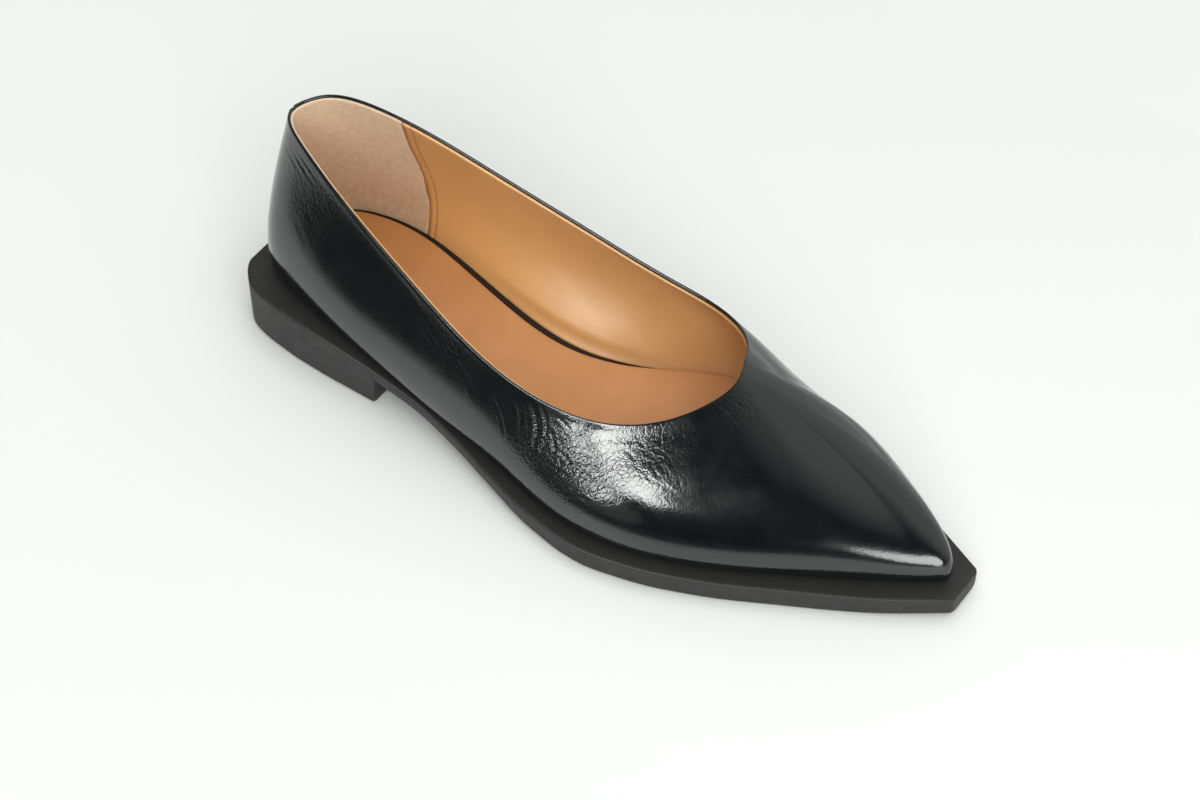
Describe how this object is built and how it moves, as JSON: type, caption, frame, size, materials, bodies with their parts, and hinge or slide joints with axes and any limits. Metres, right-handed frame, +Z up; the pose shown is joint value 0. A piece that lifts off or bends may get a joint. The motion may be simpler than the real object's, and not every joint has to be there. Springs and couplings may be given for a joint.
{
  "type": "ballet flat",
  "caption": "Pointed slip-on flat for the right foot: glossy black leather upper with a low topline, tan lining and insole, on a moulded black rubber sole with a low heel.",
  "frame": {"origin": "on the floor, under the middle of the sole's bounding box", "axes": "+X along the shoe towards the toe, +Y towards the inner side of the right foot, +Z up"},
  "size_m": [0.272, 0.0971, 0.0767],
  "materials": {
    "upper_leather": "glossy, finely crinkled",
    "sock_leather": "smooth, satin",
    "sole_rubber": "matte, moulded"
  },
  "bodies": {
    "root": {"upper": "upper_leather", "insole": "sock_leather", "outsole": "sole_rubber"}
  },
  "joints": []
}
